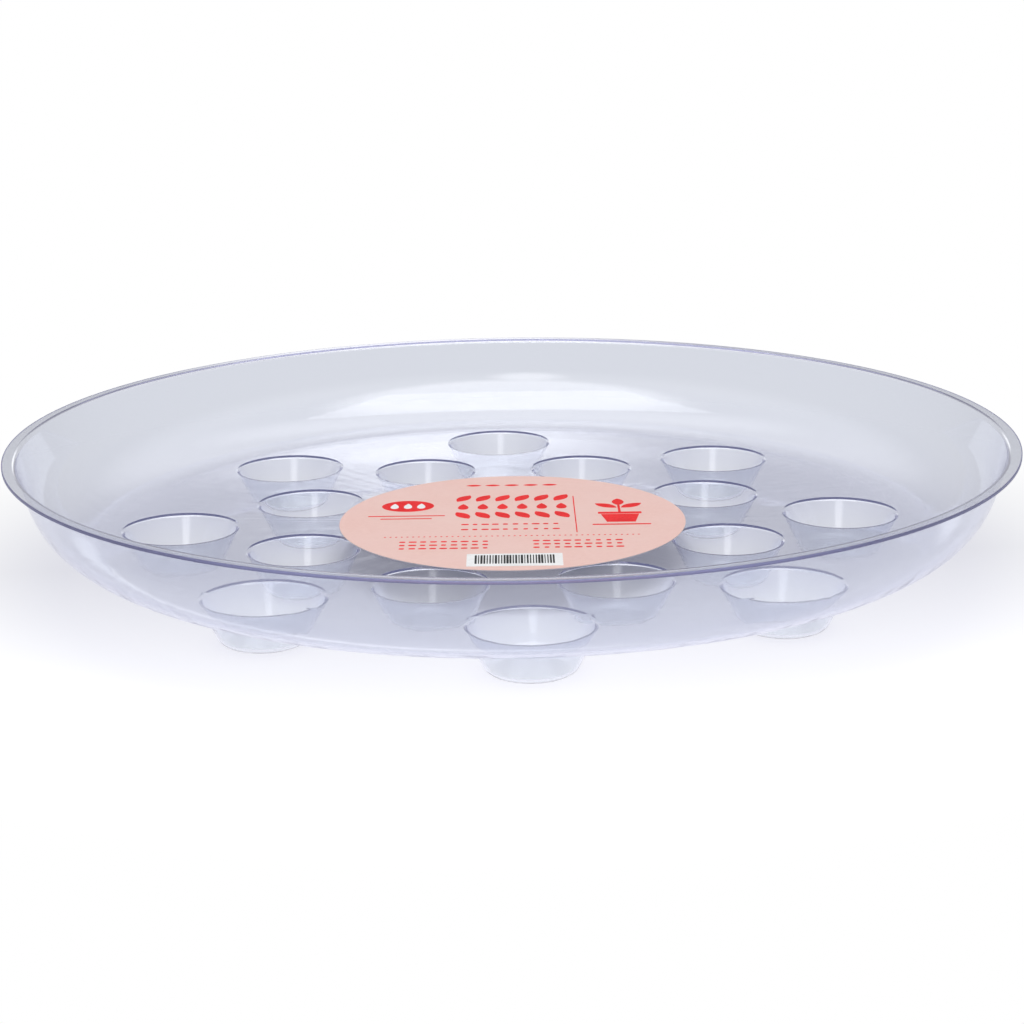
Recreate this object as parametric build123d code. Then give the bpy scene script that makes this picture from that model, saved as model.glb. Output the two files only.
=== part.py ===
from build123d import *
from math import cos, radians, sin, tan
import os

# Clear footed saucer for a plant pot: one thin plastic sheet drawn over a mould, with a round paper
# label stuck in the middle of its floor. Lengths are in millimetres and angles in degrees.
# The origin is the centre of the plane that the feet stand on, +Z is up, and a foot lies on +X.

# Sheet and rim
sheet_thickness = 0.9
rim_diameter = 304.8
lip_width = 3.3
lip_bend_radius = 0.8
edge_rounding = 0.1

# Floor and wall, with the arc measured on the sheet's underside
floor_height = 12.6
wall_height = 27.9
wall_arc_radius = 25.0
wall_slope = 72.0

# Feet, each a round well pressed down into the floor; a well's radius is taken at the floor's top
feet_per_ring = 8
outer_well_radius = 17.2
inner_well_radius = 16.1
inner_ring_radius = 68.5
well_draft = 25.3
well_mouth_bend_radius = 0.6
foot_corner_radius = 3.5
foot_landing = 1.6

# Label
label_diameter = 106.8
label_thickness = 0.25

# The two skins of the sheet: the upper one is the lower one moved in by the sheet's thickness
lower_floor_height = floor_height - sheet_thickness
rim_height = floor_height + wall_height
lower_lip_height = rim_height - sheet_thickness
rim_radius = rim_diameter / 2
lip_root_radius = rim_radius - lip_width
wall_skin_gap = sheet_thickness / sin(radians(wall_slope))
well_skin_gap = sheet_thickness / cos(radians(well_draft))
well_wall_slope = 90 - well_draft


def lower_wall_radius(height):
    """Radius of the wall's outer skin at a height, with the bends left out."""
    return lip_root_radius - (lower_lip_height - height) / tan(radians(wall_slope))


def upper_wall_radius(height):
    """Radius of the wall's inner skin at a height, with the bends left out."""
    return lower_wall_radius(height) - wall_skin_gap


def bend_run(bend_radius, turn):
    """How far a bend reaches along each side of its corner."""
    return bend_radius * tan(radians(turn) / 2)


flat_floor_radius = lower_wall_radius(lower_floor_height) - bend_run(wall_arc_radius, wall_slope)
upper_mouth_bend_radius = well_mouth_bend_radius + sheet_thickness
mouth_bend_run = bend_run(upper_mouth_bend_radius, well_wall_slope)


def collar_radius(well_radius):
    """Radius of the flat ring of floor that each pressed foot includes round its mouth."""
    return well_radius + mouth_bend_run + foot_landing


outer_ring_radius = flat_floor_radius - collar_radius(outer_well_radius)


def sheet_section(lower_points, lower_bends, upper_points, upper_bends):
    """Closed section of a bent sheet, drawn as radius and height, between its two skins."""
    lower_skin = FilletPolyline(*lower_points, radius=lower_bends)
    upper_skin = FilletPolyline(*upper_points, radius=upper_bends)
    first_end = Line(lower_skin @ 0, upper_skin @ 0)
    last_end = Line(lower_skin @ 1, upper_skin @ 1)
    return Plane.XZ * make_face([lower_skin, last_end, upper_skin, first_end])


def bowl():
    """The floor without its wells, the flared wall and the flat lip, all round the axis."""
    section = sheet_section(
        [
            (0, lower_floor_height),
            (lower_wall_radius(lower_floor_height), lower_floor_height),
            (lip_root_radius, lower_lip_height),
            (rim_radius, lower_lip_height),
        ],
        [wall_arc_radius, lip_bend_radius],
        [
            (0, floor_height),
            (upper_wall_radius(floor_height), floor_height),
            (upper_wall_radius(rim_height), rim_height),
            (rim_radius, rim_height),
        ],
        [wall_arc_radius - sheet_thickness, lip_bend_radius + sheet_thickness],
    )
    turned = revolve(section, Axis.Z)
    cut_edges = turned.edges().filter_by(GeomType.CIRCLE).sort_by(SortBy.RADIUS)[-2:]
    return fillet(cut_edges, edge_rounding)


def foot(well_radius):
    """One pressed foot about the Z axis: collar, tapered wall, rounded corner and flat bottom."""
    taper = tan(radians(well_draft))
    upper_bottom_radius = well_radius - (floor_height - sheet_thickness) * taper
    lower_bottom_radius = well_radius - floor_height * taper + well_skin_gap
    lower_mouth_radius = well_radius - sheet_thickness * taper + well_skin_gap
    collar = collar_radius(well_radius)
    section = sheet_section(
        [
            (0, 0),
            (lower_bottom_radius, 0),
            (lower_mouth_radius, lower_floor_height),
            (collar, lower_floor_height),
        ],
        [foot_corner_radius, well_mouth_bend_radius],
        [
            (0, sheet_thickness),
            (upper_bottom_radius, sheet_thickness),
            (well_radius, floor_height),
            (collar, floor_height),
        ],
        [foot_corner_radius - sheet_thickness, upper_mouth_bend_radius],
    )
    return revolve(section, Axis.Z)


def saucer():
    """The whole formed sheet: the bowl, with both rings of feet pressed into its floor."""
    formed = bowl()
    half_step = 180 / feet_per_ring
    rings = [
        (outer_ring_radius, outer_well_radius, 0),
        (inner_ring_radius, inner_well_radius, half_step),
    ]
    for ring_radius, well_radius, start_angle in rings:
        places = PolarLocations(ring_radius, feet_per_ring, start_angle)
        hole = Cylinder(collar_radius(well_radius), rim_height, align=(Align.CENTER, Align.CENTER, Align.MIN))
        pressed = foot(well_radius)
        formed = formed - [place * hole for place in places]
        formed = formed + [place * pressed for place in places]
    return formed


def label():
    """The label lies flat on the floor and reaches a little over the inner wells."""
    disc = Cylinder(label_diameter / 2, label_thickness, align=(Align.CENTER, Align.CENTER, Align.MIN))
    return Pos(0, 0, floor_height) * disc


os.makedirs("parts", exist_ok=True)
export_step(saucer(), "parts/saucer.step")
export_step(label(), "parts/label.step")
print("flat floor radius", round(flat_floor_radius, 2), "outer ring radius", round(outer_ring_radius, 2))
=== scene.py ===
import math

import bmesh
import bpy
from mathutils import Matrix, Vector


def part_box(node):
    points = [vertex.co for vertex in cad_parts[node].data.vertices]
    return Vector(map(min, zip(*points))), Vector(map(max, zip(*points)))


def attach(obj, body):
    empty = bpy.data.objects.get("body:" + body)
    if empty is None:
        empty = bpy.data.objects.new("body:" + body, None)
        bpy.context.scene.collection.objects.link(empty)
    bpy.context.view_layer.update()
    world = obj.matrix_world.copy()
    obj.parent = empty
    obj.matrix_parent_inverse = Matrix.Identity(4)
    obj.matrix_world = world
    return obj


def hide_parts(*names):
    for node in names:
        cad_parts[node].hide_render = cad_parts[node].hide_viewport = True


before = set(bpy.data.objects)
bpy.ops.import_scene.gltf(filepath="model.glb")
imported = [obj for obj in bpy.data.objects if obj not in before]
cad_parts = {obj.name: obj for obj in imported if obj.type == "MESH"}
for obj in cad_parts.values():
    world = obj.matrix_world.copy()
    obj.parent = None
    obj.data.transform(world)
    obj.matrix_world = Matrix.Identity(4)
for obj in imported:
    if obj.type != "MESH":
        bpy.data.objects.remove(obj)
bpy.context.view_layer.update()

# Camera
# It stands where the photograph was taken from: close to the saucer, a little to the left of its -Y
# axis, a hand's breadth above the rim, and tipped a hair to one side.
CAMERA_PLACE = Vector((-0.0289, -0.6468, 0.1952))
CAMERA_HEADING = math.radians(-2.548)
CAMERA_TILT = math.radians(15.53)
CAMERA_ROLL = math.radians(-0.74)
CAMERA_LENS = 76.47
SENSOR_WIDTH = 36.0

camera_data = bpy.data.cameras.new("photo_camera")
camera_data.lens = CAMERA_LENS
camera_data.sensor_width = SENSOR_WIDTH
camera = bpy.data.objects.new("photo_camera", camera_data)
bpy.context.scene.collection.objects.link(camera)
looking_down = math.pi / 2 - CAMERA_TILT
camera.matrix_world = (
    Matrix.Translation(CAMERA_PLACE)
    @ Matrix.Rotation(CAMERA_HEADING, 4, "Z")
    @ Matrix.Rotation(looking_down, 4, "X")
    @ Matrix.Rotation(CAMERA_ROLL, 4, "Z")
)
bpy.context.scene.camera = camera
bpy.context.scene.view_settings.view_transform = "Standard"
LIGHT_BOUNCES = 64
bpy.context.scene.cycles.max_bounces = LIGHT_BOUNCES
bpy.context.scene.cycles.transmission_bounces = LIGHT_BOUNCES
bpy.context.scene.cycles.transparent_max_bounces = LIGHT_BOUNCES

# Studio floor
# A white sheet of paper lies a hair below the feet and runs far behind the saucer. It keeps the saucer's
# shadow, turns to plain white further out, and can't be seen from below.
PAPER_SIDE = 14.0
PAPER_TOP = -0.00005
PAPER_COLOUR = (0.86, 0.86, 0.88, 1)
# Painted light: a glow on the paper for seen rays, strongest in front of the saucer and fading towards its
# middle.
PAINTED_GLOW_FRONT = 0.46
PAINTED_GLOW_BACK = 0.09
PAINTED_GLOW_REACH = (-0.17, 0.0)
WHITE_START = 0.14
WHITE_END = 0.23
WHITE_THROUGH_VINYL = (0.785, 0.80, 0.84, 1)


def node(tree, kind, **settings):
    """A new node, with its properties set by name."""
    made = tree.nodes.new(kind)
    for name, value in settings.items():
        setattr(made, name, value)
    return made


def new_material(name):
    """An empty node material and its tree."""
    material = bpy.data.materials.new(name)
    material.use_nodes = True
    material.node_tree.nodes.clear()
    return material, material.node_tree


def set_range(mapper, start, end, low, high):
    """Sets a Map Range node to turn start to end into low to high."""
    for name, value in zip(("From Min", "From Max", "To Min", "To Max"), (start, end, low, high)):
        mapper.inputs[name].default_value = value


def seen_directly(tree):
    """1 where a ray comes from the camera, or from it by way of glass or a gloss."""
    path = node(tree, "ShaderNodeLightPath")
    seen = node(tree, "ShaderNodeMath", operation="MAXIMUM")
    seen_or_glossy = node(tree, "ShaderNodeMath", operation="MAXIMUM")
    tree.links.new(path.outputs["Is Camera Ray"], seen.inputs[0])
    tree.links.new(path.outputs["Is Transmission Ray"], seen.inputs[1])
    tree.links.new(seen.outputs[0], seen_or_glossy.inputs[0])
    tree.links.new(path.outputs["Is Glossy Ray"], seen_or_glossy.inputs[1])
    return seen_or_glossy.outputs[0]


def studio_paper():
    """Diffuse paper with a painted glow for seen rays only, stronger at the front, plain white far out,
    clear from below.
    """
    material, tree = new_material("studio_paper")
    paper = node(tree, "ShaderNodeBsdfDiffuse")
    paper.inputs["Color"].default_value = PAPER_COLOUR
    seen = seen_directly(tree)
    place = node(tree, "ShaderNodeTexCoord")
    depth = node(tree, "ShaderNodeSeparateXYZ")
    tree.links.new(place.outputs["Object"], depth.inputs[0])
    lightness = node(tree, "ShaderNodeMapRange")
    set_range(lightness, *PAINTED_GLOW_REACH, PAINTED_GLOW_FRONT, PAINTED_GLOW_BACK)
    tree.links.new(depth.outputs["Y"], lightness.inputs["Value"])
    # Painted light: this glow is added to the paper, stronger at the front than behind.
    glow = node(tree, "ShaderNodeEmission")
    near_glow = node(tree, "ShaderNodeMath", operation="MULTIPLY")
    tree.links.new(lightness.outputs["Result"], near_glow.inputs[1])
    tree.links.new(seen, near_glow.inputs[0])
    tree.links.new(near_glow.outputs[0], glow.inputs["Strength"])
    near = node(tree, "ShaderNodeAddShader")
    tree.links.new(paper.outputs[0], near.inputs[0])
    tree.links.new(glow.outputs[0], near.inputs[1])
    distance = node(tree, "ShaderNodeVectorMath", operation="LENGTH")
    tree.links.new(place.outputs["Object"], distance.inputs[0])
    spread = node(tree, "ShaderNodeMapRange", interpolation_type="SMOOTHSTEP")
    set_range(spread, WHITE_START, WHITE_END, 0, 1)
    tree.links.new(distance.outputs["Value"], spread.inputs["Value"])
    whiteness = node(tree, "ShaderNodeMath", operation="MULTIPLY")
    tree.links.new(spread.outputs["Result"], whiteness.inputs[0])
    tree.links.new(seen, whiteness.inputs[1])
    far = node(tree, "ShaderNodeEmission")
    path = node(tree, "ShaderNodeLightPath")
    white = node(tree, "ShaderNodeMix", data_type="RGBA")
    white.inputs["A"].default_value = WHITE_THROUGH_VINYL
    white.inputs["B"].default_value = (1, 1, 1, 1)
    tree.links.new(path.outputs["Is Camera Ray"], white.inputs["Factor"])
    tree.links.new(white.outputs["Result"], far.inputs["Color"])
    both = node(tree, "ShaderNodeMixShader")
    tree.links.new(whiteness.outputs[0], both.inputs[0])
    tree.links.new(near.outputs[0], both.inputs[1])
    tree.links.new(far.outputs[0], both.inputs[2])
    side = node(tree, "ShaderNodeNewGeometry")
    clear = node(tree, "ShaderNodeBsdfTransparent")
    one_sided = node(tree, "ShaderNodeMixShader")
    tree.links.new(side.outputs["Backfacing"], one_sided.inputs[0])
    tree.links.new(both.outputs[0], one_sided.inputs[1])
    tree.links.new(clear.outputs[0], one_sided.inputs[2])
    output = node(tree, "ShaderNodeOutputMaterial")
    tree.links.new(one_sided.outputs[0], output.inputs["Surface"])
    return material


def add_piece(name, mesh):
    """A new object for a mesh, at the origin."""
    piece = bpy.data.objects.new(name, mesh)
    bpy.context.scene.collection.objects.link(piece)
    return piece


half = PAPER_SIDE / 2
paper_outline = ((-half, -half), (half, -half), (half, half), (-half, half))
paper_corners = [(x, y, PAPER_TOP) for x, y in paper_outline]
paper_mesh = bpy.data.meshes.new("studio_floor")
paper_mesh.from_pydata(paper_corners, [], [(0, 1, 2, 3)])
paper_mesh.materials.append(studio_paper())
studio_floor = add_piece("studio_floor", paper_mesh)

# Studio lights
# One wide soft box hangs over the saucer. The pale room fills the rest: seen in the vinyl, it is brighter
# higher up, with a large screen overhead, a strip above the camera, and a lit ceiling and wall behind.
TOP_BOX_PLACE = (0.0, -0.15, 1.3)
TOP_BOX_SIZE = (1.2, 0.9)
TOP_BOX_POWER = 8.5
ROOM_COLOUR = (0.9, 0.91, 0.94, 1)
ROOM_LIGHT = 0.55
ROOM_SEEN_LOW = 0.36
ROOM_SEEN_HIGH = 1.0
ROOM_RISE_START = math.sin(math.radians(22))
ROOM_RISE_END = math.sin(math.radians(43))
SCREEN = ((0.0, -0.47, 0.883), (0.68, 0.8, 0.35), 0.6, 1.9)
STRIP = ((-0.11, -0.83, 0.56), (0.22, 0.5, 0.12), 0.2, 1.9)
CEILING = ((0.05, 0.34, 0.94), (0.9, 0.4, 0.4), 0.2, 0.8)
BACK_WALL = ((0.0, 0.98, 0.2), (0.14, 0.5, 0.1), 0.2, 1.1)


def soft_box(name, place, target, size, power):
    """A wide rectangular lamp that faces its target."""
    light = bpy.data.lights.new(name, "AREA")
    light.shape = "RECTANGLE"
    light.size, light.size_y = size
    light.energy = power
    lamp = bpy.data.objects.new(name, light)
    lamp.location = place
    lamp.rotation_euler = (Vector(target) - Vector(place)).to_track_quat("-Z", "Y").to_euler()
    bpy.context.scene.collection.objects.link(lamp)
    return lamp


def bright_patch(tree, way, towards, reach, middle, strength):
    """Strength of a soft oval patch of the room, full in its middle and gone at its reach."""
    aside = node(tree, "ShaderNodeVectorMath", operation="SUBTRACT")
    tree.links.new(way, aside.inputs[0])
    aside.inputs[1].default_value = Vector(towards).normalized()
    share = node(tree, "ShaderNodeVectorMath", operation="DIVIDE")
    tree.links.new(aside.outputs[0], share.inputs[0])
    share.inputs[1].default_value = reach
    length = node(tree, "ShaderNodeVectorMath", operation="LENGTH")
    tree.links.new(share.outputs[0], length.inputs[0])
    fade = node(tree, "ShaderNodeMapRange", interpolation_type="SMOOTHERSTEP")
    set_range(fade, middle, 1, strength, 0)
    tree.links.new(length.outputs["Value"], fade.inputs["Value"])
    return fade.outputs["Result"]


top_box = soft_box("top_box", TOP_BOX_PLACE, (0, 0, 0), TOP_BOX_SIZE, TOP_BOX_POWER)
top_box.visible_glossy = False

world = bpy.data.worlds.new("studio_room")
bpy.context.scene.world = world
world.use_nodes = True
room = world.node_tree
room.nodes.clear()
room_light = node(room, "ShaderNodeBackground")
room_light.inputs["Color"].default_value = ROOM_COLOUR
room_light.inputs["Strength"].default_value = ROOM_LIGHT
room_seen = node(room, "ShaderNodeBackground")
room_seen.inputs["Color"].default_value = (1, 1, 1, 1)
room_way = node(room, "ShaderNodeTexCoord")
room_way_parts = node(room, "ShaderNodeSeparateXYZ")
room.links.new(room_way.outputs["Generated"], room_way_parts.inputs[0])
room_rise = node(room, "ShaderNodeMapRange", interpolation_type="SMOOTHSTEP")
set_range(room_rise, ROOM_RISE_START, ROOM_RISE_END, ROOM_SEEN_LOW, ROOM_SEEN_HIGH)
room.links.new(room_way_parts.outputs["Z"], room_rise.inputs["Value"])
room_brightness = room_rise.outputs["Result"]
for patch in (SCREEN, STRIP, CEILING, BACK_WALL):
    added = node(room, "ShaderNodeMath", operation="ADD")
    room.links.new(room_brightness, added.inputs[0])
    room.links.new(bright_patch(room, room_way.outputs["Generated"], *patch), added.inputs[1])
    room_brightness = added.outputs[0]
room_path = node(room, "ShaderNodeLightPath")
seen_strength = node(room, "ShaderNodeMix", data_type="FLOAT")
room.links.new(room_path.outputs["Is Camera Ray"], seen_strength.inputs["Factor"])
room.links.new(room_brightness, seen_strength.inputs["A"])
seen_strength.inputs["B"].default_value = 1.0
room.links.new(seen_strength.outputs["Result"], room_seen.inputs["Strength"])
room_mix = node(room, "ShaderNodeMixShader")
room.links.new(seen_directly(room), room_mix.inputs[0])
room.links.new(room_light.outputs[0], room_mix.inputs[1])
room.links.new(room_seen.outputs[0], room_mix.inputs[2])
room_output = node(room, "ShaderNodeOutputWorld")
room.links.new(room_mix.outputs[0], room_output.inputs["Surface"])

# Saucer
# One sheet of clear vinyl, drawn hot over a mould and trimmed round its lip. It is made as the sheet's
# middle surface, turned about the axis, with the feet set in rings, and then given its thickness.
SHEET = 0.0009
LIP_WIDTH = 0.0033
LIP_BEND = 0.00125
EDGE_ROUNDING = 0.0001
EDGE_SEGMENTS = 3
EDGE_ANGLE = math.radians(60)
WALL_BEND = 0.02455
WALL_SLOPE = math.radians(72)
FEET_PER_RING = 8
OUTER_WELL_RADIUS = 0.0172
INNER_WELL_RADIUS = 0.0161
INNER_RING_RADIUS = 0.0685
WELL_DRAFT = math.radians(25.3)
MOUTH_BEND = 0.00105
FOOT_CORNER = 0.00305
FOOT_LANDING = 0.0016
ARC_STEP = math.radians(6)
SUPPORT_GAP = 0.0003
RIM_STEPS = 288
FOOT_STEPS = 72
SHEET_COLOUR = (0.85, 0.868, 0.87, 1)
FOOT_COLOUR = (0.86, 0.882, 0.885, 1)
VINYL_INDEX = 1.53
VINYL_ROUGHNESS = 0.03
CUT_ROUGHNESS = 0.4
VINYL_SHADE = (0.93, 0.93, 0.94, 1)
VINYL_ABSORPTION = (0.25, 0.25, 0.65, 1)
VINYL_DENSITY = 60.0
# Painted light: the sheet glows faintly in place of light scattered in it, more on the feet below the
# floor and on the wall.
SHEET_PAINTED_GLOW = (0.3, 0.34, 1.0, 1)
FOOT_PAINTED_GLOW = (1.6, 1.58, 1.5, 1)
WALL_PAINTED_GLOW = (1.1, 1.1, 1.5, 1)
PAINTED_GLOW_STRENGTH = 0.032
RIPPLE_SCALE = 130.0
RIPPLE_DEPTH = 0.00006
DRAW_LINE_SCALE = 22.0
DRAW_LINE_SHARE = 0.4
WAVE_DETAIL = 1.0
# Painted shade: the cut edge is coloured dark indigo to give the dark line along the rim.
CUT_EDGE_SHADE_COLOUR = (0.2, 0.2, 0.42, 1)
CUT_DEPTH = 0.00035

saucer_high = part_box("saucer")[1]
label_low, label_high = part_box("label")
rim_radius = saucer_high.x
floor_middle = label_low.z - SHEET / 2
lip_middle = saucer_high.z - SHEET / 2
skin_gap = SHEET / math.sin(WALL_SLOPE)


def bent_line(corners, bends):
    """Straight runs with an arc at each inner corner, and a support point just outside each arc's ends."""
    line = [Vector(corners[0])]
    for corner, bend, before, after in zip(corners[1:-1], bends, corners, corners[2:]):
        corner, before, after = Vector(corner), Vector(before), Vector(after)
        way_in = (corner - before).normalized()
        way_out = (after - corner).normalized()
        turn = way_in.angle_signed(way_out)
        run = bend * math.tan(abs(turn) / 2)
        start = corner - way_in * run
        line.append(start - way_in * SUPPORT_GAP)
        steps = max(2, math.ceil(abs(turn) / ARC_STEP))
        side = Vector((-way_in.y, way_in.x)) * (-1 if turn > 0 else 1)
        centre = start + side * bend
        for step in range(steps + 1):
            spoke = start - centre
            spoke.rotate(Matrix.Rotation(-turn * step / steps, 2))
            line.append(centre + spoke)
        line.append(corner + way_out * (run + SUPPORT_GAP))
    line.append(Vector(corners[-1]))
    return line


def turned(name, line, steps):
    """Mesh of a line of (radius, height) points turned about Z, with a pole where it meets the axis."""
    shape = bmesh.new()
    rings = []
    for radius, height in line:
        if radius == 0:
            rings.append([shape.verts.new((0, 0, height))] * steps)
        else:
            angles = [2 * math.pi * step / steps for step in range(steps)]
            places = [(radius * math.cos(a), radius * math.sin(a), height) for a in angles]
            rings.append([shape.verts.new(place) for place in places])
    for inner, outer in zip(rings, rings[1:]):
        for here in range(steps):
            there = (here + 1) % steps
            corners = [inner[here], outer[here], outer[there], inner[there]]
            shape.faces.new(list(dict.fromkeys(corners)))
    mesh = bpy.data.meshes.new(name)
    shape.to_mesh(mesh)
    shape.free()
    return mesh


lip_root = rim_radius - LIP_WIDTH
wall_foot = lip_root - (saucer_high.z - SHEET - floor_middle) / math.tan(WALL_SLOPE) - skin_gap / 2
wall_top = lip_root + (SHEET / 2) / math.tan(WALL_SLOPE) - skin_gap / 2
flat_floor = wall_foot - WALL_BEND * math.tan(WALL_SLOPE / 2)
well_slope = math.pi / 2 - WELL_DRAFT
mouth_run = (MOUTH_BEND + SHEET / 2) * math.tan(well_slope / 2)


def collar_radius(well_radius):
    """Radius of the flat ring of floor round a well's mouth."""
    return well_radius + mouth_run + FOOT_LANDING


def hole_radius(well_radius):
    """Radius of a foot's hole in the floor plate, a little inside the collar's outer edge."""
    return collar_radius(well_radius) - 2 * SUPPORT_GAP


outer_ring_radius = flat_floor - collar_radius(OUTER_WELL_RADIUS)
wall_line = bent_line(
    [
        (flat_floor - SUPPORT_GAP, floor_middle),
        (wall_foot, floor_middle),
        (wall_top, lip_middle),
        (rim_radius, lip_middle),
    ],
    [WALL_BEND, LIP_BEND],
)
edge_support = Vector((3 * EDGE_ROUNDING, 0))
wall_line.insert(-1, wall_line[-1] - edge_support)


def pressed_foot(name, well_radius):
    """One foot about the Z axis, from the middle of its bottom to the edge of its floor hole."""
    taper = math.tan(WELL_DRAFT)
    half_skin = SHEET / math.cos(WELL_DRAFT) / 2
    top = label_low.z
    wall_at_floor = well_radius + half_skin - (top - floor_middle) * taper
    wall_at_bottom = well_radius + half_skin - (top - SHEET / 2) * taper
    line = bent_line(
        [
            (0, SHEET / 2),
            (wall_at_bottom, SHEET / 2),
            (wall_at_floor, floor_middle),
            (hole_radius(well_radius), floor_middle),
        ],
        [FOOT_CORNER, MOUTH_BEND],
    )
    return add_piece(name, turned(name, line, FOOT_STEPS))


def clear_vinyl():
    """Tinted, rippled clear plastic with a faint painted glow, more on the feet and wall, and a dull cut
    edge painted dark.
    """
    material, tree = new_material("clear_vinyl")
    vinyl = node(tree, "ShaderNodeBsdfPrincipled")
    place = node(tree, "ShaderNodeTexCoord")
    flat = node(tree, "ShaderNodeVectorMath", operation="MULTIPLY")
    flat.inputs[1].default_value = (1, 1, 0)
    tree.links.new(place.outputs["Object"], flat.inputs[0])
    reach = node(tree, "ShaderNodeVectorMath", operation="LENGTH")
    tree.links.new(flat.outputs[0], reach.inputs[0])
    cut = node(tree, "ShaderNodeMapRange")
    set_range(cut, rim_radius - CUT_DEPTH, rim_radius - CUT_DEPTH / 2, 0, 1)
    tree.links.new(reach.outputs["Value"], cut.inputs["Value"])
    height = node(tree, "ShaderNodeSeparateXYZ")
    tree.links.new(place.outputs["Object"], height.inputs[0])
    drawn = node(tree, "ShaderNodeMapRange")
    set_range(drawn, floor_middle - 2 * SHEET, floor_middle - SHEET, 1, 0)
    tree.links.new(height.outputs["Z"], drawn.inputs["Value"])
    sheet_colour = node(tree, "ShaderNodeMix", data_type="RGBA")
    sheet_colour.inputs["A"].default_value = SHEET_COLOUR
    sheet_colour.inputs["B"].default_value = FOOT_COLOUR
    tree.links.new(drawn.outputs["Result"], sheet_colour.inputs["Factor"])
    # Painted shade: the dark indigo colour is mixed in at the cut edge, where the roughness also rises.
    colour = node(tree, "ShaderNodeMix", data_type="RGBA")
    tree.links.new(sheet_colour.outputs["Result"], colour.inputs["A"])
    colour.inputs["B"].default_value = CUT_EDGE_SHADE_COLOUR
    tree.links.new(cut.outputs["Result"], colour.inputs["Factor"])
    tree.links.new(colour.outputs["Result"], vinyl.inputs["Base Color"])
    gloss = node(tree, "ShaderNodeMapRange")
    set_range(gloss, 0, 1, VINYL_ROUGHNESS, CUT_ROUGHNESS)
    tree.links.new(cut.outputs["Result"], gloss.inputs["Value"])
    tree.links.new(gloss.outputs["Result"], vinyl.inputs["Roughness"])
    vinyl.inputs["IOR"].default_value = VINYL_INDEX
    vinyl.inputs["Transmission Weight"].default_value = 1.0
    wall = node(tree, "ShaderNodeMapRange")
    set_range(wall, saucer_high.z / 2 - WALL_BEND / 4, saucer_high.z / 2 + WALL_BEND / 4, 0, 1)
    tree.links.new(height.outputs["Z"], wall.inputs["Value"])
    # Painted light: a faint glow, stronger on the feet and the wall, stands in for light scattered in the
    # vinyl.
    vinyl_painted_glow = node(tree, "ShaderNodeMix", data_type="RGBA")
    deep = node(tree, "ShaderNodeMapRange")
    set_range(deep, 0, floor_middle, 1, 0)
    tree.links.new(height.outputs["Z"], deep.inputs["Value"])
    sheet_and_foot_painted_glow = node(tree, "ShaderNodeMix", data_type="RGBA")
    sheet_and_foot_painted_glow.inputs["A"].default_value = SHEET_PAINTED_GLOW
    sheet_and_foot_painted_glow.inputs["B"].default_value = FOOT_PAINTED_GLOW
    tree.links.new(deep.outputs["Result"], sheet_and_foot_painted_glow.inputs["Factor"])
    tree.links.new(sheet_and_foot_painted_glow.outputs["Result"], vinyl_painted_glow.inputs["A"])
    vinyl_painted_glow.inputs["B"].default_value = WALL_PAINTED_GLOW
    tree.links.new(wall.outputs["Result"], vinyl_painted_glow.inputs["Factor"])
    tree.links.new(vinyl_painted_glow.outputs["Result"], vinyl.inputs["Emission Color"])
    vinyl.inputs["Emission Strength"].default_value = PAINTED_GLOW_STRENGTH
    material.cycles.emission_sampling = "NONE"
    tint = node(tree, "ShaderNodeVolumeAbsorption")
    tint.inputs["Color"].default_value = VINYL_ABSORPTION
    tint.inputs["Density"].default_value = VINYL_DENSITY
    ripple = node(tree, "ShaderNodeTexNoise")
    ripple.inputs["Scale"].default_value = RIPPLE_SCALE
    ripple.inputs["Detail"].default_value = WAVE_DETAIL
    tree.links.new(place.outputs["Object"], ripple.inputs["Vector"])
    calm = node(tree, "ShaderNodeMapRange")
    set_range(calm, lip_root - 2 * LIP_WIDTH, lip_root - LIP_WIDTH, 1, 0)
    tree.links.new(reach.outputs["Value"], calm.inputs["Value"])
    waves = node(tree, "ShaderNodeBump")
    tree.links.new(calm.outputs["Result"], waves.inputs["Strength"])
    waves.inputs["Distance"].default_value = RIPPLE_DEPTH
    outwards = node(tree, "ShaderNodeVectorMath", operation="NORMALIZE")
    tree.links.new(flat.outputs[0], outwards.inputs[0])
    draw_lines = node(tree, "ShaderNodeTexNoise")
    draw_lines.inputs["Scale"].default_value = DRAW_LINE_SCALE
    draw_lines.inputs["Detail"].default_value = WAVE_DETAIL
    tree.links.new(outwards.outputs[0], draw_lines.inputs["Vector"])
    relief = node(tree, "ShaderNodeMix", data_type="FLOAT")
    relief.inputs["Factor"].default_value = DRAW_LINE_SHARE
    tree.links.new(ripple.outputs[0], relief.inputs["A"])
    tree.links.new(draw_lines.outputs[0], relief.inputs["B"])
    tree.links.new(relief.outputs["Result"], waves.inputs["Height"])
    tree.links.new(waves.outputs["Normal"], vinyl.inputs["Normal"])
    shade = node(tree, "ShaderNodeBsdfTransparent")
    shade.inputs["Color"].default_value = VINYL_SHADE
    path = node(tree, "ShaderNodeLightPath")
    seen = vinyl.outputs[0]
    for ray in ("Is Shadow Ray", "Is Diffuse Ray"):
        mix = node(tree, "ShaderNodeMixShader")
        tree.links.new(path.outputs[ray], mix.inputs[0])
        tree.links.new(seen, mix.inputs[1])
        tree.links.new(shade.outputs[0], mix.inputs[2])
        seen = mix.outputs[0]
    output = node(tree, "ShaderNodeOutputMaterial")
    tree.links.new(seen, output.inputs["Surface"])
    tree.links.new(tint.outputs[0], output.inputs["Volume"])
    return material


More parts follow.
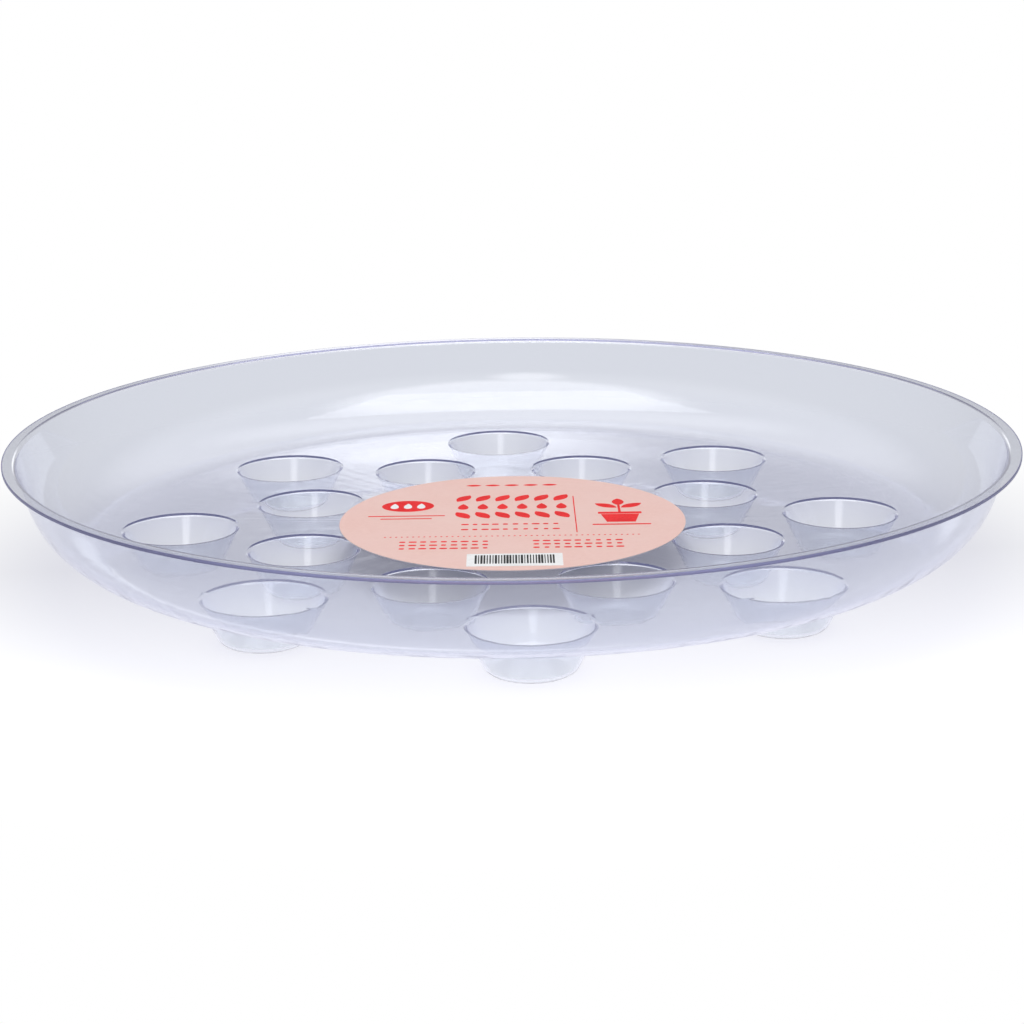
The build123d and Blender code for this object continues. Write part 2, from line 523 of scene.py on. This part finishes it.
def foot_ring(tree, given, foot_name, mouth_name, ring_name, start_angle):
    """Nodes that set one foot, and one circle for its hole in the floor, all round a ring."""
    ring = node(tree, "GeometryNodeMeshCircle")
    tree.links.new(given.outputs["Feet per ring"], ring.inputs["Vertices"])
    tree.links.new(given.outputs[ring_name], ring.inputs["Radius"])
    turn = node(tree, "GeometryNodeTransform")
    turn.inputs["Rotation"].default_value = (0, 0, start_angle)
    tree.links.new(ring.outputs["Mesh"], turn.inputs["Geometry"])
    foot = node(tree, "GeometryNodeObjectInfo")
    tree.links.new(given.outputs[foot_name], foot.inputs["Object"])
    mouth = node(tree, "GeometryNodeCurvePrimitiveCircle")
    tree.links.new(given.outputs["Foot steps"], mouth.inputs["Resolution"])
    tree.links.new(given.outputs[mouth_name], mouth.inputs["Radius"])
    placed = []
    for source in (foot.outputs["Geometry"], mouth.outputs["Curve"]):
        place = node(tree, "GeometryNodeInstanceOnPoints")
        tree.links.new(turn.outputs["Geometry"], place.inputs["Points"])
        tree.links.new(source, place.inputs["Instance"])
        placed.append(place.outputs["Instances"])
    return placed


def pressed_floor_tree():
    """Joins the wall that comes in, both rings of feet, and a flat floor with a hole for each."""
    tree = bpy.data.node_groups.new("pressed_floor", "GeometryNodeTree")
    inputs = [
        ("Wall", "NodeSocketGeometry"),
        ("Outer foot", "NodeSocketObject"),
        ("Inner foot", "NodeSocketObject"),
        ("Floor radius", "NodeSocketFloat"),
        ("Outer ring radius", "NodeSocketFloat"),
        ("Inner ring radius", "NodeSocketFloat"),
        ("Outer mouth radius", "NodeSocketFloat"),
        ("Inner mouth radius", "NodeSocketFloat"),
        ("Floor height", "NodeSocketFloat"),
        ("Feet per ring", "NodeSocketInt"),
        ("Foot steps", "NodeSocketInt"),
        ("Rim steps", "NodeSocketInt"),
        ("Material", "NodeSocketMaterial"),
    ]
    for name, kind in inputs:
        tree.interface.new_socket(name, in_out="INPUT", socket_type=kind)
    tree.interface.new_socket("Sheet", in_out="OUTPUT", socket_type="NodeSocketGeometry")
    given = node(tree, "NodeGroupInput")
    half_step = math.pi / FEET_PER_RING
    rings = [
        foot_ring(tree, given, "Outer foot", "Outer mouth radius", "Outer ring radius", 0),
        foot_ring(tree, given, "Inner foot", "Inner mouth radius", "Inner ring radius", half_step),
    ]
    edge = node(tree, "GeometryNodeCurvePrimitiveCircle")
    tree.links.new(given.outputs["Rim steps"], edge.inputs["Resolution"])
    tree.links.new(given.outputs["Floor radius"], edge.inputs["Radius"])
    outlines = node(tree, "GeometryNodeJoinGeometry")
    tree.links.new(edge.outputs["Curve"], outlines.inputs["Geometry"])
    parts = node(tree, "GeometryNodeJoinGeometry")
    tree.links.new(given.outputs["Wall"], parts.inputs["Geometry"])
    for feet, mouths in rings:
        tree.links.new(feet, parts.inputs["Geometry"])
        tree.links.new(mouths, outlines.inputs["Geometry"])
    flat_lines = node(tree, "GeometryNodeRealizeInstances")
    tree.links.new(outlines.outputs[0], flat_lines.inputs[0])
    plate = node(tree, "GeometryNodeFillCurve", mode="TRIANGLES")
    tree.links.new(flat_lines.outputs[0], plate.inputs["Curve"])
    lift = node(tree, "ShaderNodeCombineXYZ")
    tree.links.new(given.outputs["Floor height"], lift.inputs["Z"])
    lifted = node(tree, "GeometryNodeTransform")
    tree.links.new(plate.outputs[0], lifted.inputs["Geometry"])
    tree.links.new(lift.outputs[0], lifted.inputs["Translation"])
    tree.links.new(lifted.outputs[0], parts.inputs["Geometry"])
    whole = node(tree, "GeometryNodeRealizeInstances")
    tree.links.new(parts.outputs[0], whole.inputs[0])
    welded = node(tree, "GeometryNodeMergeByDistance")
    welded.inputs["Distance"].default_value = SUPPORT_GAP / 10
    tree.links.new(whole.outputs[0], welded.inputs["Geometry"])
    smooth = node(tree, "GeometryNodeSetShadeSmooth")
    tree.links.new(welded.outputs[0], smooth.inputs["Geometry"])
    finish = node(tree, "GeometryNodeSetMaterial")
    tree.links.new(smooth.outputs[0], finish.inputs["Geometry"])
    tree.links.new(given.outputs["Material"], finish.inputs["Material"])
    result = node(tree, "NodeGroupOutput")
    tree.links.new(finish.outputs[0], result.inputs["Sheet"])
    return tree


def set_inputs(modifier, values):
    """Sets a Geometry Nodes modifier's inputs, given by name, through their identifiers."""
    for item in modifier.node_group.interface.items_tree:
        if item.in_out == "INPUT" and item.name in values:
            modifier[item.identifier] = values[item.name]


def made_plain(piece):
    """Turns what a piece's modifiers give into its own mesh, and removes them."""
    evaluated = piece.evaluated_get(bpy.context.evaluated_depsgraph_get())
    mesh = bpy.data.meshes.new_from_object(evaluated)
    piece.modifiers.clear()
    piece.data = mesh
    return piece


vinyl = clear_vinyl()
outer_foot = pressed_foot("outer_foot", OUTER_WELL_RADIUS)
inner_foot = pressed_foot("inner_foot", INNER_WELL_RADIUS)
saucer = add_piece("vinyl_saucer", turned("vinyl_saucer", wall_line, RIM_STEPS))
pressing = saucer.modifiers.new("pressing", "NODES")
pressing.node_group = pressed_floor_tree()
set_inputs(
    pressing,
    {
        "Outer foot": outer_foot,
        "Inner foot": inner_foot,
        "Floor radius": flat_floor - SUPPORT_GAP,
        "Outer ring radius": outer_ring_radius,
        "Inner ring radius": INNER_RING_RADIUS,
        "Outer mouth radius": hole_radius(OUTER_WELL_RADIUS),
        "Inner mouth radius": hole_radius(INNER_WELL_RADIUS),
        "Floor height": floor_middle,
        "Feet per ring": FEET_PER_RING,
        "Foot steps": FOOT_STEPS,
        "Rim steps": RIM_STEPS,
        "Material": vinyl,
    },
)
thickness = saucer.modifiers.new("thickness", "SOLIDIFY")
thickness.thickness = SHEET
thickness.offset = 0
thickness.use_even_offset = True
rounding = saucer.modifiers.new("rounding", "BEVEL")
rounding.width = EDGE_ROUNDING
rounding.segments = EDGE_SEGMENTS
rounding.limit_method = "ANGLE"
rounding.angle_limit = EDGE_ANGLE
made_plain(saucer)
for helper in (outer_foot, inner_foot):
    bpy.data.objects.remove(helper)
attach(saucer, "root")
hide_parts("saucer")

# Label
# A round die-cut sticker of coated paper, pressed onto the middle of the floor. The paper is printed pink
# on its face, with a faint mottle, and shows white at its cut edge.
LABEL_EDGE = 0.00005
LABEL_STEPS = 192
PAPER_PINK = (0.90, 0.61, 0.55, 1)
PAPER_PINK_DEEP = (0.87, 0.575, 0.515, 1)
PAPER_WHITE = (0.82, 0.81, 0.79, 1)
MOTTLE_SCALE = 900.0
CLOUD_SCALE = 55.0
FIBRE_DEPTH = 0.00001
BLOTCH_SPREAD = (0.15, 0.4)
SHEEN_SPREAD = (0.3, 0.7)
SHEEN_ROUGHNESS = (0.42, 0.58)


def paper_grain_group():
    """Fine mottle of a paper's fibres, and the slow clouds that lie over it."""
    group = bpy.data.node_groups.new("paper_grain", "ShaderNodeTree")
    for name in ("Mottle scale", "Cloud scale"):
        group.interface.new_socket(name, in_out="INPUT", socket_type="NodeSocketFloat")
    for name in ("Mottle", "Clouds", "Blotches"):
        group.interface.new_socket(name, in_out="OUTPUT", socket_type="NodeSocketFloat")
    given = node(group, "NodeGroupInput")
    result = node(group, "NodeGroupOutput")
    place = node(group, "ShaderNodeTexCoord")
    blotches = node(group, "ShaderNodeMath", operation="MULTIPLY")
    for at, (scale, output) in enumerate((("Mottle scale", "Mottle"), ("Cloud scale", "Clouds"))):
        noise = node(group, "ShaderNodeTexNoise")
        group.links.new(place.outputs["Object"], noise.inputs["Vector"])
        group.links.new(given.outputs[scale], noise.inputs["Scale"])
        group.links.new(noise.outputs[0], result.inputs[output])
        group.links.new(noise.outputs[0], blotches.inputs[at])
    spread = node(group, "ShaderNodeMapRange")
    set_range(spread, *BLOTCH_SPREAD, 0, 1)
    group.links.new(blotches.outputs[0], spread.inputs["Value"])
    group.links.new(spread.outputs["Result"], result.inputs["Blotches"])
    return group


paper_grain = paper_grain_group()


def add_grain(tree, mottle_scale, cloud_scale):
    """The paper's grain, placed in a material with its own scales."""
    grain = node(tree, "ShaderNodeGroup", node_tree=paper_grain)
    grain.inputs["Mottle scale"].default_value = mottle_scale
    grain.inputs["Cloud scale"].default_value = cloud_scale
    return grain


def coated_paper():
    """Coated paper with a fine mottle, a little fibre in its surface, and an unprinted edge."""
    material, tree = new_material("pink_coated_paper")
    paper = node(tree, "ShaderNodeBsdfPrincipled")
    grain = add_grain(tree, MOTTLE_SCALE, CLOUD_SCALE)
    face = node(tree, "ShaderNodeMix", data_type="RGBA")
    face.inputs["A"].default_value = PAPER_PINK
    face.inputs["B"].default_value = PAPER_PINK_DEEP
    tree.links.new(grain.outputs["Blotches"], face.inputs["Factor"])
    place = node(tree, "ShaderNodeTexCoord")
    height = node(tree, "ShaderNodeSeparateXYZ")
    tree.links.new(place.outputs["Object"], height.inputs[0])
    on_face = node(tree, "ShaderNodeMapRange")
    set_range(on_face, label_high.z - 2 * LABEL_EDGE, label_high.z - LABEL_EDGE, 0, 1)
    tree.links.new(height.outputs["Z"], on_face.inputs["Value"])
    colour = node(tree, "ShaderNodeMix", data_type="RGBA")
    colour.inputs["A"].default_value = PAPER_WHITE
    tree.links.new(face.outputs["Result"], colour.inputs["B"])
    tree.links.new(on_face.outputs["Result"], colour.inputs["Factor"])
    tree.links.new(colour.outputs["Result"], paper.inputs["Base Color"])
    sheen = node(tree, "ShaderNodeMapRange")
    set_range(sheen, *SHEEN_SPREAD, *SHEEN_ROUGHNESS)
    tree.links.new(grain.outputs["Clouds"], sheen.inputs["Value"])
    tree.links.new(sheen.outputs["Result"], paper.inputs["Roughness"])
    fibre = node(tree, "ShaderNodeBump")
    fibre.inputs["Distance"].default_value = FIBRE_DEPTH
    tree.links.new(grain.outputs["Mottle"], fibre.inputs["Height"])
    tree.links.new(fibre.outputs["Normal"], paper.inputs["Normal"])
    output = node(tree, "ShaderNodeOutputMaterial")
    tree.links.new(paper.outputs[0], output.inputs["Surface"])
    return material


label_radius = label_high.x
label_line = [
    Vector((0, label_high.z)),
    Vector((label_radius - LABEL_EDGE, label_high.z)),
    Vector((label_radius, label_high.z - LABEL_EDGE)),
    Vector((label_radius, label_low.z)),
    Vector((0, label_low.z)),
]
label_mesh = turned("paper_label", label_line, LABEL_STEPS)
label_mesh.materials.append(coated_paper())
label = add_piece("paper_label", label_mesh)
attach(label, "root")
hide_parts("label")

# Label print
# Flat ink on the paper, one colour over the other: rows of leaves, drops and dashes, a potted sprout, an
# oval badge, and a white panel of plain black bars. Every row is one small shape set along a line.
MM = 0.001
INK_DEPTH = 0.02 * MM
INK_ROUGHNESS = 0.55
INK_GLOSS = 0.15
INK_WEAR = 1.2
INK_LIFT = 0.01
INK_MOTTLE_SCALE = 1.5 * MOTTLE_SCALE
INK_CLOUD_SCALE = 2 * CLOUD_SCALE
RED_INK = (0.78, 0.016, 0.018, 1)
WHITE_INK = (0.90, 0.90, 0.89, 1)
BLACK_INK = (0.012, 0.012, 0.014, 1)
PRINT_TURN = CAMERA_HEADING
OUTLINE_STEPS = 10
LEAF_FULLNESS = 0.8
LEAF = (8.6, 4.0)
LEAF_LEAN = 28
DROP = (6.6, 4.4)
TITLE_LEFT = -15.5
TITLE_HEIGHTS = (25.5, 15.5, 5.5)
TITLE_STEP = (6.2, 0)
TITLE_COUNT = 6
HEADER_LEAF = (5.0, 2.2)
HEADER_START = (-12.5, 41.5)
HEADER_COUNT = 5
DOT = 0.7
DOT_START = (-38.5, -18.0)
DOT_STEP = (1.7, 0)
DOT_COUNT = 46
DASH_HEIGHT = 1.3
DASH_STEP = (3.1, 0)
DASH_WIDTHS = (1.3, 2.6)
TEXT_BLOCKS = ((-14.6, -5.0, 5.6, 10, 2), (-33.0, -23.5, 3.5, 9, 3), (7.0, -23.5, 3.5, 9, 3))
DIVIDER = (0.35, 42.0)
DIVIDER_PLACE = (19.5, 6.0)
BADGE = (16.5, 13.0)
BADGE_PLACE = (-33.0, 17.0)
BADGE_DROP = (6.0, 3.4)
BADGE_DROP_STEP = 4.2
BADGE_RULES = ((24.0, 0.9, 5.5), (16.0, 0.9, 2.3))
SPROUT_PLACE = (33.5, 9.0)
POT = ((-6, 4.5), (-4.4, -4.5), (4.4, -4.5), (6, 4.5))
POT_RIM = (13.6, 2.2)
STALK = (0.8, 8.0)
SIDE_LEAF = (8.5, 4.0)
SIDE_LEAF_LEAN = 52
TOP_LEAF = (8.0, 3.8)
SHELF = (18.0, 1.2)
PANEL = (28.0, 12.5)
PANEL_PLACE = (0.5, -43.0)
BAR_RISE = 0.5
BAR_HEIGHT = 8.6
BAR_COUNT = 28
BAR_STEP = 0.84
BAR_WIDTHS = (0.28, 0.72)
PRINT_SEED = 12


def block(width, height):
    """Outline of a block with rounded ends or corners."""
    corner = min(width, height, 1.0) / 3
    across, up = width / 2 - corner, height / 2 - corner
    points = []
    for quarter, (x, y) in enumerate([(across, up), (-across, up), (-across, -up), (across, -up)]):
        for step in range(4):
            angle = math.pi / 2 * (quarter + step / 3)
            points.append((x + corner * math.cos(angle), y + corner * math.sin(angle)))
    return points


def oval(width, height):
    """Outline of an ellipse."""
    angles = [math.pi * step / (2 * OUTLINE_STEPS) for step in range(4 * OUTLINE_STEPS)]
    return [(width / 2 * math.cos(a), height / 2 * math.sin(a)) for a in angles]


def leaf(length, width):
    """Outline of a leaf that points up from its stalk, between two arcs."""
    along = [step / OUTLINE_STEPS for step in range(OUTLINE_STEPS)]
    right = [(width / 2 * math.sin(math.pi * t) ** LEAF_FULLNESS, length * (t - 0.5)) for t in along]
    left = [(-x, -y) for x, y in right]
    return right + left


def drop(length, width):
    """Outline of a drop: round below and pointed above."""
    angles = [2 * math.pi * step / (3 * OUTLINE_STEPS) for step in range(3 * OUTLINE_STEPS)]
    return [(width / 2 * math.sin(a) * math.sin(a / 2), length / 2 * math.cos(a)) for a in angles]


def put(outline, place, turn=0.0):
    """The outline turned by an angle in degrees and moved to its place."""
    c, s = math.cos(math.radians(turn)), math.sin(math.radians(turn))
    return [(place[0] + x * c - y * s, place[1] + x * s + y * c) for x, y in outline]


def ink_mesh(name, outlines, low, high):
    """Mesh of flat closed slabs with the given outlines, in millimetres, between two heights."""
    shape = bmesh.new()
    for outline in outlines:
        bottom = [shape.verts.new((x * MM, y * MM, low)) for x, y in outline]
        top = [shape.verts.new((x * MM, y * MM, high)) for x, y in outline]
        count = len(outline)
        shape.faces.new(top)
        shape.faces.new(reversed(bottom))
        for here in range(count):
            there = (here + 1) % count
            shape.faces.new((bottom[here], bottom[there], top[there], top[here]))
    bmesh.ops.recalc_face_normals(shape, faces=shape.faces)
    mesh = bpy.data.meshes.new(name)
    shape.to_mesh(mesh)
    shape.free()
    return mesh


def printed_row_tree():
    """Sets one printed shape along a line, each copy stretched sideways by its own share."""
    tree = bpy.data.node_groups.new("printed_row", "GeometryNodeTree")
    inputs = [
        ("Shape", "NodeSocketObject"),
        ("Count", "NodeSocketInt"),
        ("Start", "NodeSocketVector"),
        ("Step", "NodeSocketVector"),
        ("Least width", "NodeSocketFloat"),
        ("Most width", "NodeSocketFloat"),
        ("Seed", "NodeSocketInt"),
        ("Material", "NodeSocketMaterial"),
    ]
    for name, kind in inputs:
        tree.interface.new_socket(name, in_out="INPUT", socket_type=kind)
    tree.interface.new_socket("Row", in_out="OUTPUT", socket_type="NodeSocketGeometry")
    given = node(tree, "NodeGroupInput")
    line = node(tree, "GeometryNodeMeshLine", mode="OFFSET")
    for name, socket in (("Count", "Count"), ("Start", "Start Location"), ("Step", "Offset")):
        tree.links.new(given.outputs[name], line.inputs[socket])
    width = node(tree, "FunctionNodeRandomValue", data_type="FLOAT")
    tree.links.new(given.outputs["Least width"], width.inputs[2])
    tree.links.new(given.outputs["Most width"], width.inputs[3])
    tree.links.new(given.outputs["Seed"], width.inputs["Seed"])
    scale = node(tree, "ShaderNodeCombineXYZ")
    tree.links.new(width.outputs[1], scale.inputs["X"])
    scale.inputs["Y"].default_value = 1
    scale.inputs["Z"].default_value = 1
    shape = node(tree, "GeometryNodeObjectInfo")
    tree.links.new(given.outputs["Shape"], shape.inputs["Object"])
    copies = node(tree, "GeometryNodeInstanceOnPoints")
    tree.links.new(line.outputs["Mesh"], copies.inputs["Points"])
    tree.links.new(shape.outputs["Geometry"], copies.inputs["Instance"])
    tree.links.new(scale.outputs[0], copies.inputs["Scale"])
    whole = node(tree, "GeometryNodeRealizeInstances")
    tree.links.new(copies.outputs[0], whole.inputs[0])
    finish = node(tree, "GeometryNodeSetMaterial")
    tree.links.new(whole.outputs[0], finish.inputs["Geometry"])
    tree.links.new(given.outputs["Material"], finish.inputs["Material"])
    result = node(tree, "NodeGroupOutput")
    tree.links.new(finish.outputs[0], result.inputs["Row"])
    return tree


def printing_ink(name, colour):
    """Ink in a dry film that follows the paper's grain and lets a little of it through."""
    material, tree = new_material(name)
    film = node(tree, "ShaderNodeBsdfPrincipled")
    grain = add_grain(tree, INK_MOTTLE_SCALE, INK_CLOUD_SCALE)
    uneven = node(tree, "ShaderNodeMix", data_type="RGBA")
    uneven.inputs["A"].default_value = colour
    uneven.inputs["B"].default_value = [min(1, INK_WEAR * part + INK_LIFT) for part in colour]
    tree.links.new(grain.outputs["Blotches"], uneven.inputs["Factor"])
    tree.links.new(uneven.outputs["Result"], film.inputs["Base Color"])
    film.inputs["Roughness"].default_value = INK_ROUGHNESS
    film.inputs["Specular IOR Level"].default_value = INK_GLOSS
    output = node(tree, "ShaderNodeOutputMaterial")
    tree.links.new(film.outputs[0], output.inputs["Surface"])
    return material


row_tree = printed_row_tree()
print_turn = Matrix.Translation((0, 0, label_high.z)) @ Matrix.Rotation(PRINT_TURN, 4, "Z")


def printed(name, material, layer, outlines, rows):
    """One print of one ink: single shapes, and rows of (shape, count, start, step, widths, seed)."""
    low, high = layer * INK_DEPTH, (layer + 1) * INK_DEPTH
    whole = bmesh.new()
    whole.from_mesh(ink_mesh(name, outlines, 0, high))
    for shape, count, start, step, widths, seed in rows:
        motif = add_piece("motif", ink_mesh("motif", [shape], low, high))
        row = add_piece("row", bpy.data.meshes.new("row"))
        repeat = row.modifiers.new("repeat", "NODES")
        repeat.node_group = row_tree
        values = {
            "Shape": motif,
            "Count": count,
            "Start": [part * MM for part in (*start, 0)],
            "Step": [part * MM for part in (*step, 0)],
            "Least width": widths[0],
            "Most width": widths[1],
            "Seed": seed,
            "Material": material,
        }
        set_inputs(repeat, values)
        whole.from_mesh(made_plain(row).data)
        bpy.data.objects.remove(row)
        bpy.data.objects.remove(motif)
    whole.transform(print_turn)
    mesh = bpy.data.meshes.new(name)
    whole.to_mesh(mesh)
    whole.free()
    mesh.materials.clear()
    mesh.materials.append(material)
    for face in mesh.polygons:
        face.material_index = 0
    piece = add_piece(name, mesh)
    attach(piece, "root")


def text_like_rows(left, top, line_step, count, line_count, seed):
    """Rows of dashes, uneven as words are."""
    dash = block(1.0, DASH_HEIGHT)
    places = [(left, top - line * line_step) for line in range(line_count)]
    return [(dash, count, place, DASH_STEP, DASH_WIDTHS, seed + line) for line, place in enumerate(places)]


def sprout():
    """Outlines of the potted sprout: its pot, rim, stalk and leaves, and the shelf that it stands on."""
    x, y = SPROUT_PLACE
    return [
        put(POT, (x, y - 8.5)),
        put(block(*POT_RIM), (x, y - 2.5)),
        put(block(*STALK), (x, y + 2.4)),
        put(leaf(*SIDE_LEAF), (x - 4.0, y + 6.0), SIDE_LEAF_LEAN),
        put(leaf(*SIDE_LEAF), (x + 4.0, y + 6.0), -SIDE_LEAF_LEAN),
        put(leaf(*TOP_LEAF), (x, y + 10.2)),
        put(block(*SHELF), (x, y - 15.6)),
    ]


own_width = (1, 1)
badge_x, badge_y = BADGE_PLACE
rules = [put(block(*DIVIDER), DIVIDER_PLACE), put(oval(*BADGE), BADGE_PLACE)]
rules += [put(block(width, height), (badge_x, y)) for width, height, y in BADGE_RULES]
title_shapes = (
    put(leaf(*LEAF), (0, 0), -LEAF_LEAN),
    drop(*DROP),
    put(leaf(*LEAF), (0, 0), LEAF_LEAN),
)
red_rows = [
    (shape, TITLE_COUNT, (TITLE_LEFT, height), TITLE_STEP, own_width, 0)
    for shape, height in zip(title_shapes, TITLE_HEIGHTS)
]
red_rows += [
    (put(leaf(*HEADER_LEAF), (0, 0), 90), HEADER_COUNT, HEADER_START, TITLE_STEP, own_width, 0),
    (oval(DOT, DOT), DOT_COUNT, DOT_START, DOT_STEP, own_width, 0),
]
for number, text_block in enumerate(TEXT_BLOCKS):
    red_rows += text_like_rows(*text_block, PRINT_SEED + 10 * number)
printed("red_print", printing_ink("red_ink", RED_INK), 0, [*sprout(), *rules], red_rows)
printed(
    "white_print",
    printing_ink("white_ink", WHITE_INK),
    1,
    [put(block(*PANEL), PANEL_PLACE)],
    [(drop(*BADGE_DROP), 3, (badge_x - BADGE_DROP_STEP, badge_y), (BADGE_DROP_STEP, 0), own_width, 0)],
)
bar_start = (PANEL_PLACE[0] - BAR_STEP * (BAR_COUNT - 1) / 2, PANEL_PLACE[1] + BAR_RISE)
printed(
    "black_print",
    printing_ink("black_ink", BLACK_INK),
    2,
    [],
    [(block(1.0, BAR_HEIGHT), BAR_COUNT, bar_start, (BAR_STEP, 0), BAR_WIDTHS, PRINT_SEED)],
)
